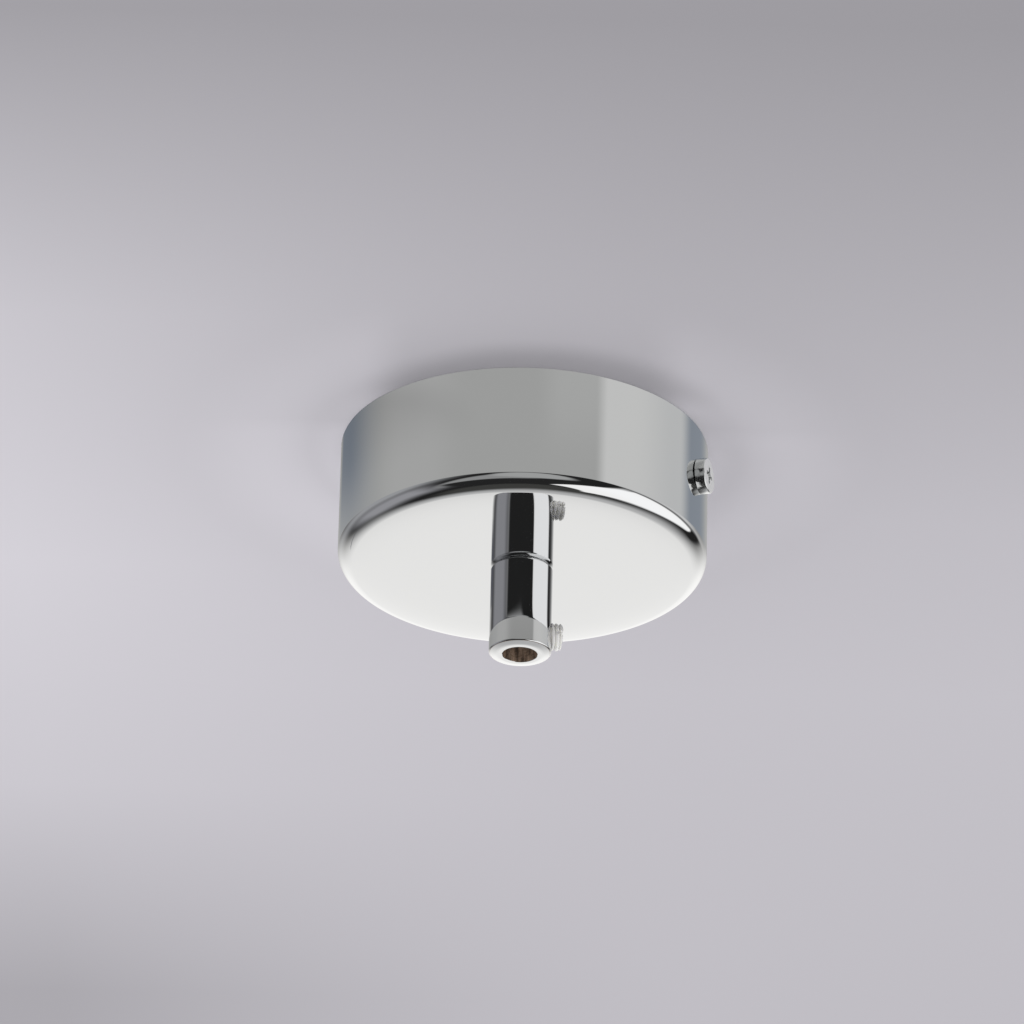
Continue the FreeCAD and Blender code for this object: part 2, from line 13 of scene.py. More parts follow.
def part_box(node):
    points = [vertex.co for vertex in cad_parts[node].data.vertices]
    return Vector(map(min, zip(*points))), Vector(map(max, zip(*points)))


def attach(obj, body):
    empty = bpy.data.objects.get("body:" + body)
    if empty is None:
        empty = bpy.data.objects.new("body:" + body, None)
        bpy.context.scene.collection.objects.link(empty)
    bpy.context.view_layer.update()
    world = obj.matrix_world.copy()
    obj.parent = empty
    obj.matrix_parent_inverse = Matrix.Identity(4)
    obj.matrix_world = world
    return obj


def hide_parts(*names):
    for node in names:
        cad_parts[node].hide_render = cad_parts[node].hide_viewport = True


bl_info = {
    "name": "Ceiling Rose",
    "version": (1, 0, 0),
    "blender": (4, 5, 0),
    "location": "View3D > Sidebar > Ceiling Rose",
    "description": "Dresses a ceiling rose round its packed frame and lights it from below",
    "category": "Object",
}

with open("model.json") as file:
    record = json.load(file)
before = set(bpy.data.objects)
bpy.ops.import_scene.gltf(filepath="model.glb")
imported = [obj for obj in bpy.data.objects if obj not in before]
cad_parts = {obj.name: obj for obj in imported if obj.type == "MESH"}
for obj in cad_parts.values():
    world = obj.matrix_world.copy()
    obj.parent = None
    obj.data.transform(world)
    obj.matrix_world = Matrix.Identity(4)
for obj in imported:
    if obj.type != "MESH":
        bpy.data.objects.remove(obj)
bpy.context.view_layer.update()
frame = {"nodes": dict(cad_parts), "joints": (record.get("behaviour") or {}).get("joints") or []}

MM = 0.001
# Corners sharper than this stay crisp in the shading
CREASE = math.radians(32)
# Points nearer than this are one point
MERGE = 0.0005 * MM
# How far a shank reaches into its screw's head, so that the two join
OVERLAP = 0.3 * MM
# Rounding of the corner under a screw's head, and chamfer of a shank's end
HEAD_FOOT, SHANK_CHAMFER = 0.08 * MM, 0.3 * MM
# Depth of a thread in pitches
THREAD_DEPTH = 0.6
# A face counts as facing a direction when their cosine is above this: for flats and walls, for a
# rounded edge, and for the choice of a material
FLAT, ROUNDED, ROUGHLY = 0.9999, 0.99, 0.9
# Facets of the CAD that lean less than this to each other are one face
COPLANAR = math.radians(0.4)
# A cutter that goes right through is this many radii long
THROUGH = 2.5
# A cross recess: its bottom as shares of its top, along and across a wing, and the cone in its
# middle, its upper radius as a share of the span and its lower as one of the upper
CROSS_FOOT, CONE_TOP, CONE_FOOT = (0.45, 0.6), 0.25, 0.4
# Most values of the noise lie between these
NOISE_RANGE = (0.3, 0.7)
# Turn round the cup's bottom edge over which the slope of its bottom dies away
EASE_TURN = math.radians(12)

CUP_LOW, CUP_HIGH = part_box("canopy_cup")
GRIP_LOW, GRIP_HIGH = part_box("cord_grip_body")
NIPPLE_LOW, NIPPLE_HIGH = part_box("threaded_nipple")
CLAMP_AXIS = Vector(next(j["axis"] for j in frame["joints"] if j["name"] == "grip_screw_slide"))


def length(name, default, description):
    """A length property, given in millimetres and kept in metres."""
    return FloatProperty(name=name, description=description, default=default * MM, unit="LENGTH")


def colour(name, default, description):
    """A linear colour property."""
    return FloatVectorProperty(
        name=name, description=description, default=default, size=3, min=0, max=1, subtype="COLOR")


class CupSizes(PropertyGroup):
    """The drawn cup."""
    sheet: length("Sheet", 0.9, "Thickness of the drawn sheet")
    edge_radius: length("Edge radius", 3.3, "Outer radius of the bottom edge")
    centre_hole: length("Centre hole", 5.2, "Radius of the hole for the nipple")
    side_hole: length("Side hole", 2.25, "Radius of each cover screw's hole")
    side_drop: length("Side hole drop", 11.4, "Distance of the side holes below the ceiling")
    hem: length("Hem", 0.12, "Small rounding of the cut edges")
    ease: FloatProperty(
        name="Ease", description="Slope at which the bottom runs into its edge", default=math.radians(3),
        subtype="ANGLE")
    ease_reach: length("Ease reach", 3.2, "How far inwards that slope dies away")
    steps: IntProperty(name="Steps", description="Facets round the cup", default=288)


class GripSizes(PropertyGroup):
    """The turned cord grip and its clear screw."""
    radius: length("Radius", 6.75, "Outer radius of the barrel")
    chamfer: length("Chamfer", 0.6, "Chamfer of the barrel's upper end")
    edge: length("Edge", 0.22, "Rounding of the chamfer's edges")
    lip: length("Lip", 1.7, "Width of the slightly sloped lip round the lower end")
    lip_rise: length("Lip rise", 0.36, "Rise of that lip")
    cord_bore: length("Cord bore", 3.8, "Radius of the bore for the cord")
    mouth: length("Mouth", 0.06, "Chamfer of the bore's mouth")
    thread_bore: length("Thread bore", 5.05, "Radius of the bore for the nipple")
    thread_depth: length("Thread depth", 6.0, "Depth of the bore for the nipple")
    clamp_rise: length("Screw rise", 4.9, "Height of the clear screw above the grip's end")
    clamp_radius: length("Screw radius", 3.0, "Radius over the clear screw's thread")
    clamp_pitch: length("Screw pitch", 1.0, "Pitch of the clear screw's thread")
    clamp_tip: length("Screw tip", 4.3, "Distance of the clear screw's tip from the cup's axis")
    clamp_length: length("Screw length", 4.65, "Length of the clear screw")
    clamp_slot: length("Slot width", 1.0, "Width of the clear screw's slot")
    clamp_slot_depth: length("Slot depth", 1.4, "Depth of the clear screw's slot")


class ScrewSizes(PropertyGroup):
    """The cover screw in the cup's wall, and the headless one opposite it."""
    radius: length("Radius", 2.0, "Radius over the thread")
    pitch: length("Pitch", 0.7, "Pitch of the thread")
    shank: length("Shank", 8.0, "Length of the shank")
    head_radius: length("Head radius", 3.9, "Radius of the head")
    head_height: length("Head height", 2.2, "Height of the head")
    head_round: length("Head rounding", 0.3, "Rounding of the head's rim")
    cross_span: length("Cross span", 3.8, "Width over the cross recess")
    cross_width: length("Cross width", 0.9, "Width of each wing of the cross")
    cross_depth: length("Cross depth", 1.5, "Depth of the cross recess")
    sink: length("Sink", 0.2, "How far the headless screw ends inside the wall's face")
    slot_width: length("Slot width", 0.8, "Width of the headless screw's slot")
    slot_depth: length("Slot depth", 1.2, "Depth of the headless screw's slot")


class Finishes(PropertyGroup):
    """Colours of the plated, turned and moulded surfaces."""
    chrome: colour("Chrome", (0.77, 0.775, 0.78), "Polished chrome plate")
    nylon: colour("Nylon", (0.97, 0.96, 0.93), "Clear moulded nylon")
    bright: colour("Bright plate", (0.68, 0.69, 0.69), "Bright plated screws")
    zinc: colour("Zinc", (0.56, 0.57, 0.58), "Zinc plated sheet")
    brass: colour("Brass", (0.72, 0.53, 0.26), "Turned brass")
    bore: colour("Bore", (0.27, 0.195, 0.145), "Unplated brass inside the grip")
    # The face of the cover screw's head: a satin finish, but whiter and less metallic than the bright plate,
    # which is painted light on the face
    satin: colour("Satin plate", (0.90, 0.90, 0.89), "Face of the cover screw's head")
    ivory: colour("Ivory", (0.79, 0.75, 0.66), "Moulded ivory plastic")


class StageLook(PropertyGroup):
    """The ceiling, the light and the camera."""
    ceiling: colour("Ceiling", (0.958, 0.930, 1.0), "Tint of the ceiling's paint")
    plain: colour("Backdrop", (0.60, 0.59, 0.62), "What the camera sees past the ceiling")
    room_light: FloatProperty(name="Room light", description="Even light from below", default=0.86)
    key_power: FloatProperty(
        name="Key light", description="Soft lamp below left", default=0.9, unit="POWER")
    heading: FloatProperty(
        name="Heading", description="Turn of the camera round the cup", default=math.radians(18.5),
        subtype="ANGLE")
    climb: FloatProperty(
        name="Climb", description="Upward tilt of the camera", default=math.radians(26.449),
        subtype="ANGLE")
    roll: FloatProperty(
        name="Roll", description="Turn of the picture", default=math.radians(1.395), subtype="ANGLE")
    distance: FloatProperty(
        name="Distance", description="Camera to the cup", default=1.8483, unit="LENGTH")
    lens: FloatProperty(
        name="Lens", description="Focal length", default=298.94, subtype="DISTANCE_CAMERA")


# Wire outlines, lathe work and threads

def outline(corners):
    """A closed wire in the XZ plane; each corner is (radius, height, rounding, segments)."""
    bm = bmesh.new()
    points = [bm.verts.new((radius, 0, height)) for radius, height, *_ in corners]
    for start, end in zip(points, points[1:] + points[:1]):
        bm.edges.new((start, end))
    for point, (*_, rounding, segments) in zip(points, corners):
        if rounding:
            bmesh.ops.bevel(
                bm, geom=[point], offset=rounding, offset_type="OFFSET", affect="VERTICES",
                segments=segments, profile=0.5, material=-1, clamp_overlap=True)
    return bm


def turned(corners, steps):
    """Spin a closed outline about Z into one closed solid."""
    bm = outline(corners)
    bmesh.ops.spin(
        bm, geom=bm.verts[:] + bm.edges[:], cent=(0, 0, 0), axis=(0, 0, 1),
        angle=2 * math.pi, steps=steps, use_merge=True)
    bmesh.ops.remove_doubles(bm, verts=bm.verts, dist=MERGE)
    bmesh.ops.recalc_face_normals(bm, faces=bm.faces)
    return bm


def threaded_rod(radius, pitch, low, high, chamfer, steps=28, moulded=False):
    """A solid rod along Z with a right-handed thread and chamfered ends; a moulded one is rounder."""
    rise = THREAD_DEPTH * pitch
    root = radius - rise
    # A turn and a half more at each end, for the cuts to take off
    turns = math.ceil((high - low) / pitch) + 3
    start = low - 1.5 * pitch
    bm = bmesh.new()
    # One turn's profile: how far along the pitch, and the radius there
    shares = ((0, root), (0.31, radius), (0.44, radius), (0.75, root), (1, root))
    if moulded:
        shares = [(step / 12, root + rise * math.sin(math.pi * step / 12) ** 0.7) for step in range(13)]
    ring = [bm.verts.new((reach, 0, start + share * pitch)) for share, reach in shares]
    for first, second in zip(ring, ring[1:]):
        bm.edges.new((first, second))
    bmesh.ops.spin(
        bm, geom=bm.verts[:] + bm.edges[:], cent=(0, 0, 0), axis=(0, 0, 1),
        dvec=(0, 0, pitch / steps), angle=2 * math.pi * turns, steps=steps * turns)
    bmesh.ops.remove_doubles(bm, verts=bm.verts, dist=0.02 * pitch)
    for level, way, clear in (
            (low, -1, True), (high, 1, True), (low + chamfer, 1, False), (high - chamfer, 1, False)):
        bmesh.ops.bisect_plane(
            bm, geom=bm.verts[:] + bm.edges[:] + bm.faces[:], dist=MERGE,
            plane_co=(0, 0, level), plane_no=(0, 0, way), clear_outer=clear)
    for vert in bm.verts:
        limit = radius - chamfer + min(vert.co.z - low, high - vert.co.z, chamfer)
        reach = vert.co.xy.length
        if reach > limit:
            vert.co.xy *= limit / reach
    bmesh.ops.holes_fill(bm, edges=[edge for edge in bm.edges if edge.is_boundary], sides=0)
    bmesh.ops.recalc_face_normals(bm, faces=bm.faces)
    return bm


def rod(radius, depth, steps=64):
    """A plain round cutter, centred on the origin along Z."""
    bm = bmesh.new()
    bmesh.ops.create_cone(bm, cap_ends=True, segments=steps, radius1=radius, radius2=radius, depth=depth)
    return bm


def bar(size, foot=(1, 1)):
    """A box centred on the origin; foot narrows its lower end."""
    bm = bmesh.new()
    bmesh.ops.create_cube(bm, size=1)
    for vert in bm.verts:
        if vert.co.z < 0:
            vert.co.x *= foot[0]
            vert.co.y *= foot[1]
    bmesh.ops.scale(bm, vec=size, verts=bm.verts)
    return bm


def moved(bm, matrix):
    """Move a shape and hand it back."""
    bmesh.ops.transform(bm, matrix=matrix, verts=bm.verts)
    return bm


def spare_object(bm, name):
    """A working object for a Boolean modifier."""
    mesh = bpy.data.meshes.new(name)
    bm.to_mesh(mesh)
    bm.free()
    made = bpy.data.objects.new(name, mesh)
    bpy.context.scene.collection.objects.link(made)
    return made


def combined(bm, tool, operation="DIFFERENCE"):
    """Cut a tool out of a closed shape, or join the two."""
    base, other = spare_object(bm, "work"), spare_object(tool, "tool")
    modifier = base.modifiers.new("Shape", "BOOLEAN")
    modifier.operation = operation
    modifier.solver = "EXACT"
    modifier.object = other
    graph = bpy.context.evaluated_depsgraph_get()
    mesh = bpy.data.meshes.new_from_object(base.evaluated_get(graph))
    result = bmesh.new()
    result.from_mesh(mesh)
    for spare in (base, other):
        old = spare.data
        bpy.data.objects.remove(spare)
        bpy.data.meshes.remove(old)
    bpy.data.meshes.remove(mesh)
    if not result.faces:
        raise RuntimeError("a Boolean left nothing")
    bmesh.ops.remove_doubles(result, verts=result.verts, dist=MERGE)
    bmesh.ops.dissolve_degenerate(result, edges=result.edges, dist=MERGE)
    return result


def pin_head(radius, height, rounding, steps=72):
    """A round screw head that stands on the XY plane."""
    return turned([
        (0, 0, 0, 0), (radius, 0, HEAD_FOOT, 2), (radius, height, rounding, 8), (0, height, 0, 0),
    ], steps)


def cut_cross(bm, top, span, width, depth):
    """Cut a cross recess, narrower at its bottom, into a head's top."""
    for turn in (0, math.pi / 2):
        wing = bar((span, width, depth), foot=CROSS_FOOT)
        place = Matrix.Translation((0, 0, top - depth / 2 + MERGE)) @ Matrix.Rotation(turn, 4, "Z")
        bm = combined(bm, moved(wing, place))
    cone, upper = bmesh.new(), CONE_TOP * span
    bmesh.ops.create_cone(
        cone, cap_ends=True, segments=32, radius1=upper * CONE_FOOT, radius2=upper, depth=depth)
    return combined(bm, moved(cone, Matrix.Translation((0, 0, top - depth / 2 + 2 * MERGE))))


def cut_slot(bm, top, width, depth, reach):
    """Cut a driver slot across a screw's top."""
    slot = bar((THROUGH * reach, width, 2 * depth))
    return combined(bm, moved(slot, Matrix.Translation((0, 0, top))))


# Finished pieces

def leaning(out, tilt):
    """A direction that leans outwards from straight down."""
    return out * math.sin(tilt) - Vector((0, 0, math.cos(tilt)))


def mirror_normal(ring=None, ease=0.0, reach=MM):
    """A rule for a turned mirror's shading normals: flats and walls exact, and the bottom easing into
    its edge, whose ring is (radius, height, smallest reach, largest reach)."""
    def rule(centre, facing, point):
        out = Vector((point.x, point.y, 0)).normalized()
        side = Vector((centre.x, centre.y, 0)).normalized()
        if facing.z < -FLAT and ring:
            return leaning(out, ease * math.exp((point.xy.length - ring[0]) / reach))
        if abs(facing.z) > FLAT:
            return Vector((0, 0, math.copysign(1, facing.z)))
        if abs(facing.dot(side)) > FLAT:
            return out * math.copysign(1, facing.dot(side))
        if ring:
            arm = point - out * ring[0] - Vector((0, 0, ring[1]))
            along = facing.dot(arm.normalized())
            if ring[2] < arm.length < ring[3] and abs(along) > ROUNDED:
                turn = math.atan2(arm.dot(out), -arm.z)
                if along < 0:
                    return -leaning(out, turn)
                return leaning(out, turn + ease * math.exp(-turn / EASE_TURN))
        return Vector()
    return rule


def add_piece(bm, name, body, replaced, materials, normals=None, choose=None):
    """Turn a bmesh into a finished piece that rides on a body and stands for CAD nodes."""
    if choose:
        for face in bm.faces:
            face.material_index = choose(face.calc_center_median(), face.normal)
    for face in bm.faces:
        face.smooth = True
    mesh = bpy.data.meshes.new(name)
    bm.to_mesh(mesh)
    bm.free()
    mesh.set_sharp_from_angle(angle=CREASE)
    if normals:
        mesh.normals_split_custom_set([
            normals(face.center, face.normal, mesh.vertices[mesh.loops[index].vertex_index].co)
            for face in mesh.polygons for index in face.loop_indices])
    for material in materials:
        mesh.materials.append(material)
    piece = bpy.data.objects.new(name, mesh)
    bpy.context.scene.collection.objects.link(piece)
    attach(piece, body)
    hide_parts(*replaced)
    return piece


def softened(node, width, segments=2):
    """A copy of a CAD node's shape with its sharp edges slightly rounded."""
    bm = bmesh.new()
    bm.from_mesh(frame["nodes"][node].data)
    bmesh.ops.remove_doubles(bm, verts=bm.verts, dist=MERGE)
    bmesh.ops.dissolve_limit(
        bm, angle_limit=COPLANAR, use_dissolve_boundaries=False, verts=bm.verts, edges=bm.edges)
    bmesh.ops.recalc_face_normals(bm, faces=bm.faces)
    sharp = [edge for edge in bm.edges if len(edge.link_faces) == 2 and edge.calc_face_angle() > CREASE]
    bmesh.ops.bevel(
        bm, geom=sharp, offset=width, offset_type="OFFSET", affect="EDGES", segments=segments,
        profile=0.5, material=-1, clamp_overlap=True)
    bmesh.ops.triangulate(bm, faces=[face for face in bm.faces if len(face.verts) > 4])
    return bm


# Widths of the softened edges of steel, of brass and of the moulded block
STEEL_EDGE, BRASS_EDGE, BLOCK_EDGE = 0.12 * MM, 0.1 * MM, 0.15 * MM


def dress(node, name, body, material, width=STEEL_EDGE):
    """Add a CAD node's shape with its sharp edges rounded and its flats shaded flat."""
    piece = add_piece(softened(node, width), name, body, [node], [material])
    piece.modifiers.new("Flat faces", "WEIGHTED_NORMAL").keep_sharp = True


# Materials

def add_node(tree, kind, inputs=None, **settings):
    """Add a node; inputs holds values or sockets, and settings its own fields."""
    made = tree.nodes.new("ShaderNode" + kind)
    for field, value in settings.items():
        setattr(made, field, value)
    for key, value in (inputs or {}).items():
        if isinstance(value, bpy.types.NodeSocket):
            tree.links.new(value, made.inputs[key])
        else:
            made.inputs[key].default_value = value
    return made


def maths(tree, operation, *values):
    """Add a math node and give back its output."""
    return add_node(tree, "Math", dict(enumerate(values)), operation=operation).outputs[0]


# The materials by the name of their finish
FINISH = {}


def finish(key, name, tint, **settings):
    """A Principled material, kept as a finish; settings go to the shader's own sockets."""
    material = bpy.data.materials.new(name)
    material.use_nodes = True
    shader = material.node_tree.nodes["Principled BSDF"]
    shader.inputs["Base Color"].default_value = (*tint, 1)
    for socket, value in settings.items():
        shader.inputs[socket.replace("_", " ")].default_value = value
    FINISH[key] = material
    return material.node_tree, shader


def object_noise(tree, scale, stretch=(1, 1, 1), detail=3.0):
    """Noise on Object coordinates; scale is in features per metre."""
    place = add_node(tree, "TexCoord").outputs["Object"]
    mapped = add_node(tree, "Mapping", {"Vector": place, "Scale": stretch}).outputs[0]
    return add_node(tree, "TexNoise", {"Vector": mapped, "Scale": scale, "Detail": detail}).outputs[0]


def spread(tree, value, low, high):
    """Stretch a noise value to a range."""
    start, end = NOISE_RANGE
    return add_node(tree, "MapRange", {
        "Value": value, "From Min": start, "From Max": end, "To Min": low, "To Max": high}).outputs[0]


def vary_roughness(tree, shader, scale, low, high, stretch=(1, 1, 1)):
    """Let the gloss wander between two values."""
    tree.links.new(spread(tree, object_noise(tree, scale, stretch), low, high), shader.inputs["Roughness"])


def vary_colour(tree, shader, scale, first, second, stretch=(1, 1, 1)):
    """Let the colour wander between two tints."""
    share = spread(tree, object_noise(tree, scale, stretch), 0, 1)
    mixed = add_node(tree, "Mix", {0: share, 6: (*first, 1), 7: (*second, 1)}, data_type="RGBA")
    tree.links.new(mixed.outputs[2], shader.inputs["Base Color"])


def add_bump(tree, shader, height, strength, depth):
    """Raise the surface by a height socket."""
    bump = add_node(tree, "Bump", {"Height": height, "Strength": strength, "Distance": depth})
    tree.links.new(bump.outputs[0], shader.inputs["Normal"])


def shade(tint, share):
    """A darker or lighter copy of a tint."""
    return tuple(min(1, part * share) for part in tint)


def make_finishes():
    """Make every material of the rose."""
    tints = bpy.context.scene.rose_finishes

    tree, shader = finish("chrome", "polished chrome", tints.chrome, Metallic=1)
    vary_roughness(tree, shader, 90, 0.015, 0.03)
    add_bump(tree, shader, object_noise(tree, 350), 0.02, 0.01 * MM)

    tree, shader = finish("bore", "bore brass", tints.bore, Metallic=0.4)
    # The dark and light streaks along the bore are painted reflection; the brown itself is the unplated
    # brass's own colour
    vary_colour(tree, shader, 1300, shade(tints.bore, 0.25), shade(tints.bore, 2.2), (1, 1, 0.15))
    vary_roughness(tree, shader, 1500, 0.2, 0.4)
    add_bump(tree, shader, object_noise(tree, 400, (1, 1, 12)), 0.4, 0.03 * MM)

    tree, shader = finish(
        "nylon", "clear nylon", tints.nylon, Transmission_Weight=0.1, IOR=1.53, Subsurface_Weight=0.3)
    shader.inputs["Subsurface Radius"].default_value = (0.002, 0.002, 0.0018)
    vary_roughness(tree, shader, 800, 0.16, 0.26)
    add_bump(tree, shader, object_noise(tree, 1500), 0.05, 0.02 * MM)

    # The cover screw's face: satin, and whiter and less metallic than the bright plate, which is painted
    # light on the face
    tree, shader = finish("satin", "satin plate", tints.satin, Metallic=0.2)
    vary_roughness(tree, shader, 900, 0.36, 0.5)
    add_bump(tree, shader, object_noise(tree, 1800), 0.12, 0.02 * MM)

    tree, shader = finish("bright", "bright plate", tints.bright, Metallic=1)
    vary_roughness(tree, shader, 1200, 0.08, 0.2)
    add_bump(tree, shader, object_noise(tree, 2200), 0.12, 0.02 * MM)

    tree, shader = finish("zinc", "zinc plated sheet", tints.zinc, Metallic=1)
    vary_colour(tree, shader, 160, shade(tints.zinc, 0.86), (0.63, 0.63, 0.6))
    vary_roughness(tree, shader, 500, 0.26, 0.46, (1, 9, 1))
    add_bump(tree, shader, object_noise(tree, 700, (1, 14, 1)), 0.12, 0.01 * MM)

    tree, shader = finish("brass", "turned brass", tints.brass, Metallic=1)
    vary_colour(tree, shader, 250, shade(tints.brass, 0.82), shade(tints.brass, 1.1))
    vary_roughness(tree, shader, 900, 0.16, 0.34)
    add_bump(tree, shader, object_noise(tree, 1200, (6, 1, 1)), 0.12, 0.01 * MM)

    tree, shader = finish("ivory", "moulded ivory", tints.ivory, Subsurface_Weight=0.12, IOR=1.5)
    shader.inputs["Subsurface Radius"].default_value = (0.0012, 0.001, 0.0007)
    vary_colour(tree, shader, 120, shade(tints.ivory, 0.96), shade(tints.ivory, 1.03))
    vary_roughness(tree, shader, 1500, 0.34, 0.5)
    add_bump(tree, shader, object_noise(tree, 3000), 0.2, 0.02 * MM)


# The pieces

class ROSE_OT_cup(Operator):
    """Make the drawn chrome cup with its rounded edge and its three holes"""
    bl_idname = "rose.cup"
    bl_label = "Drawn cup"

    def execute(self, context):
        sizes = context.scene.rose_cup
        outer, bottom = CUP_HIGH.x, CUP_LOW.z
        inner, floor = outer - sizes.sheet, bottom + sizes.sheet
        edge, inner_edge, hem = sizes.edge_radius, sizes.edge_radius - sizes.sheet, sizes.hem
        # Rings on the flat bottom, which carry its easing into the edge
        flat_rings = ((share * outer, bottom, 0, 0) for share in (0.6, 0.75, 0.83, 0.88))
        bm = turned([
            (sizes.centre_hole, bottom, hem, 3), *flat_rings, (outer, bottom, edge, 28), (outer, 0, hem, 3),
            (inner, 0, hem, 3), (inner, floor, inner_edge, 14), (sizes.centre_hole, floor, hem, 3),
        ], sizes.steps)
        across = Matrix.Translation((0, 0, -sizes.side_drop)) @ Matrix.Rotation(math.pi / 2, 4, "Y")
        bm = combined(bm, moved(rod(sizes.side_hole, THROUGH * outer), across))
        # Both faces of the bent edge lie between these distances from the middle of the bend
        ring = (outer - edge, bottom + edge, inner_edge * 0.9, edge * 1.01)
        add_piece(
            bm, "cup_shell", "rose", ["canopy_cup"], [FINISH["chrome"]],
            normals=mirror_normal(ring, sizes.ease, sizes.ease_reach))
        return {"FINISHED"}


# The grip's lip and the break over it, its small corners and the mouth of the nipple's bore, then
# the gap round the clear screw, and that screw's chamfer
LIP_ROUND, LIP_BREAK, CORNER, THREAD_MOUTH = 0.4 * MM, 0.2 * MM, 0.1 * MM, 0.05 * MM
CLAMP_GAP, CLAMP_CHAMFER = 0.05 * MM, 0.4 * MM


class ROSE_OT_grip(Operator):
    """Make the turned cord grip with its cord bore, its bore for the nipple and its screw hole"""
    bl_idname = "rose.grip"
    bl_label = "Cord grip"

    def execute(self, context):
        sizes = context.scene.rose_grip
        top, end, radius, edge = GRIP_HIGH.z, GRIP_LOW.z, sizes.radius, sizes.edge
        bore, ledge = sizes.cord_bore, top - sizes.thread_depth
        bm = turned([
            (bore, end + sizes.mouth, 0, 0), (bore + sizes.mouth, end, 0, 0),
            (radius - sizes.lip, end, LIP_ROUND, 6), (radius - LIP_BREAK, end + sizes.lip_rise, CORNER, 4),
            (radius, end + sizes.lip_rise + LIP_BREAK, CORNER, 4),
            (radius, top - sizes.chamfer, edge, 5), (radius - sizes.chamfer, top, edge, 5),
            (sizes.thread_bore, top, THREAD_MOUTH, 2), (sizes.thread_bore, ledge, 0, 0),
            (bore, ledge, CORNER, 2),
        ], steps=192)
        depth = 1.5 * radius
        hole = rod(sizes.clamp_radius + CLAMP_GAP, depth)
        place = clamp_place(sizes) @ Matrix.Translation((0, 0, depth / 2 - sizes.clamp_tip))
        bm = combined(bm, moved(hole, place))

        def choose(centre, facing):
            inside = centre.xy.length < radius - sizes.edge and end + sizes.mouth < centre.z < ledge
            return 1 if inside and abs(facing.z) < ROUGHLY else 0

        add_piece(
            bm, "grip_barrel", "rose", ["cord_grip_body"], [FINISH["chrome"], FINISH["bore"]],
            normals=mirror_normal(), choose=choose)
        return {"FINISHED"}


def clamp_place(sizes):
    """The place of the clear screw's tip, with Z turned along the screw."""
    height = GRIP_LOW.z + sizes.clamp_rise
    turn = CLAMP_AXIS.to_track_quat("Z", "Y").to_matrix().to_4x4()
    return Matrix.Translation(CLAMP_AXIS * sizes.clamp_tip + Vector((0, 0, height))) @ turn


class ROSE_OT_clear_screw(Operator):
    """Make the clear nylon grub screw that clamps the cord"""
    bl_idname = "rose.clear_screw"
    bl_label = "Clear grub screw"

    def execute(self, context):
        sizes = context.scene.rose_grip
        bm = threaded_rod(
            sizes.clamp_radius, sizes.clamp_pitch, 0, sizes.clamp_length, CLAMP_CHAMFER, steps=48,
            moulded=True)
        bm = cut_slot(
            bm, sizes.clamp_length, sizes.clamp_slot, sizes.clamp_slot_depth, sizes.clamp_radius)
        add_piece(
            moved(bm, clamp_place(sizes)), "grip_screw_clear", "clamp", ["grip_screw"],
            [FINISH["nylon"]])
        return {"FINISHED"}


class ROSE_OT_cover_screws(Operator):
    """Make the cross-recessed screw in the cup's wall and the headless one opposite it"""
    bl_idname = "rose.cover_screws"
    bl_label = "Cover screws"

    def execute(self, context):
        sizes, cup = context.scene.rose_screw, context.scene.rose_cup
        wall = Matrix.Translation((CUP_HIGH.x, 0, -cup.side_drop))
        right = wall @ Matrix.Rotation(math.pi / 2, 4, "Y")
        left = Matrix.Rotation(math.pi, 4, "Z") @ right
        head = pin_head(sizes.head_radius, sizes.head_height, sizes.head_round)
        shank = threaded_rod(sizes.radius, sizes.pitch, -sizes.shank, OVERLAP, SHANK_CHAMFER)
        bm = cut_cross(
            combined(head, shank, "UNION"), sizes.head_height, sizes.cross_span, sizes.cross_width,
            sizes.cross_depth)
        # The head's face takes the lighter plate, which is painted light; the rest takes the bright plate
        add_piece(
            moved(bm, right), "cover_screw_cross", "cover_right", ["cover_screw_right"],
            [FINISH["satin"], FINISH["bright"]], choose=lambda centre, facing: 0 if facing.x > ROUGHLY else 1)
        bm = cut_slot(
            threaded_rod(sizes.radius, sizes.pitch, -sizes.shank, -sizes.sink, SHANK_CHAMFER),
            -sizes.sink, sizes.slot_width, sizes.slot_depth, sizes.radius)
        add_piece(
            moved(bm, left), "cover_screw_headless", "cover_left", ["cover_screw_left"],
            [FINISH["bright"]])
        return {"FINISHED"}


# The nipple's tube: its bore, and the pitch and the chamfer of its thread
TUBE_BORE, TUBE_PITCH, TUBE_CHAMFER = 3.9 * MM, MM, 0.4 * MM
# The toothed washer: its ring's radii and thickness, and its teeth, twisted out of its plane
RING_BORE, RING_RADIUS, RING_SHEET = 5.2 * MM, 6.3 * MM, 0.45 * MM
TEETH, TOOTH_FOOT, TOOTH_WIDTH, TOOTH_TWIST = 12, 6 * MM, 1.7 * MM, math.radians(13)


